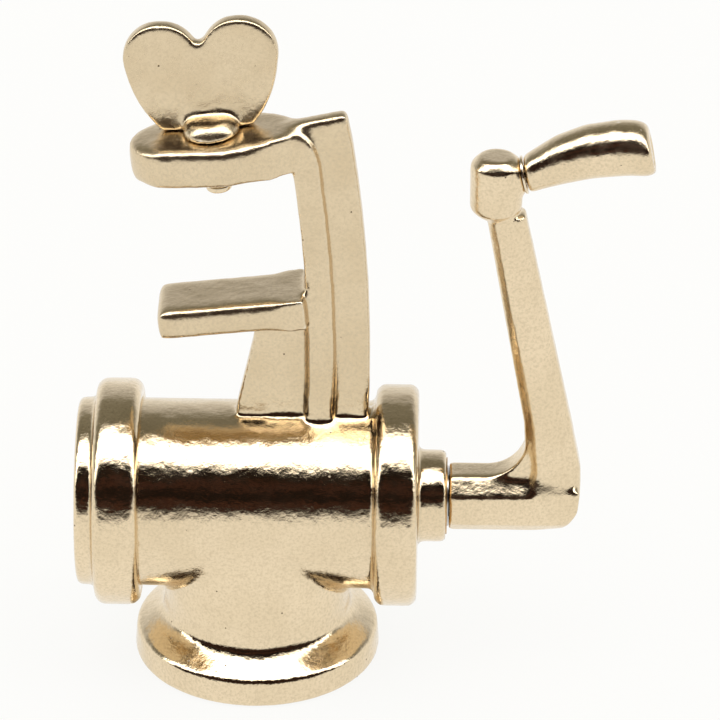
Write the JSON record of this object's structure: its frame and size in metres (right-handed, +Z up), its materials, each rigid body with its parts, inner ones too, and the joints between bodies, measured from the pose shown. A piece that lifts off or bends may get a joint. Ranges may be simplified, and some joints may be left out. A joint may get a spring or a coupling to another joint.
{
  "type": "hand crank meat grinder",
  "caption": "Clamp-on cast metal grinder with a screw-fed barrel, perforated plate and ring nut, side crank with a curved grip, and a table clamp with a heart-shaped wing screw.",
  "frame": {"origin": "centre of the hopper rim, on the plane that the rim stands on", "axes": "+X along the barrel axis towards the crank, +Z up from the hopper to the clamp as the grinder stands upside down, +Y to the back"},
  "size_m": [0.2075, 0.09, 0.2562],
  "materials": {
    "nickel_cast": "bright nickel plate over a cast skin",
    "steel": "turned and plated",
    "tool_steel": "ground",
    "bronze": "turned bronze",
    "fibre": "pressed fibre"
  },
  "bodies": {
    "housing": {"body_casting": "nickel_cast", "rear_bush": "bronze", "plate_key_pin": "steel"},
    "crank": {"auger": "nickel_cast", "drive_shaft": "steel", "auger_pin": "steel", "thrust_washer": "fibre", "knife_stud": "steel", "cutting_knife": "tool_steel", "crank_arm": "nickel_cast", "crank_washer": "steel", "crank_screw": "steel", "grip_pin": "steel", "grip_washer": "steel"},
    "grip": {"crank_grip": "nickel_cast"},
    "plate": {"grinding_plate": "tool_steel"},
    "ring": {"ring_nut": "nickel_cast"},
    "tip": {"screw_tip": "steel"},
    "wing": {"clamp_screw": "steel", "clamp_wing": "nickel_cast", "wing_pin": "steel"}
  },
  "joints": [
    {"name": "crank_spin", "type": "hinge", "parent": "housing", "child": "crank", "pos_m": [0, 0, 0.0645], "axis": [1, 0, 0], "continuous": true},
    {"name": "grip_spin", "type": "hinge", "parent": "crank", "child": "grip", "pos_m": [0.0853, 0, 0.195], "axis": [0.9763, 0, 0.2164], "continuous": true},
    {"name": "ring_travel", "type": "slide", "parent": "housing", "child": "plate", "axis": [-1, 0, 0], "range_m": [0, 0.012]},
    {"name": "ring_turn", "type": "hinge", "parent": "plate", "child": "ring", "pos_m": [-0.055, 0, 0.0645], "axis": [-1, 0, 0], "range_deg": [0, 1080.5]},
    {"name": "screw_travel", "type": "slide", "parent": "housing", "child": "tip", "axis": [-0.1132, 0, 0.9936], "range_m": [0, 0.015]},
    {"name": "screw_turn", "type": "hinge", "parent": "tip", "child": "wing", "pos_m": [-0.0155, 0, 0.2128], "axis": [-0.1132, 0, 0.9936], "range_deg": [0, 2160.5]}
  ],
  "couplings": [
    {"joint": "ring_turn", "follows": "ring_travel", "rad_per_m": 1570.8},
    {"joint": "screw_turn", "follows": "screw_travel", "rad_per_m": 2513.3}
  ]
}
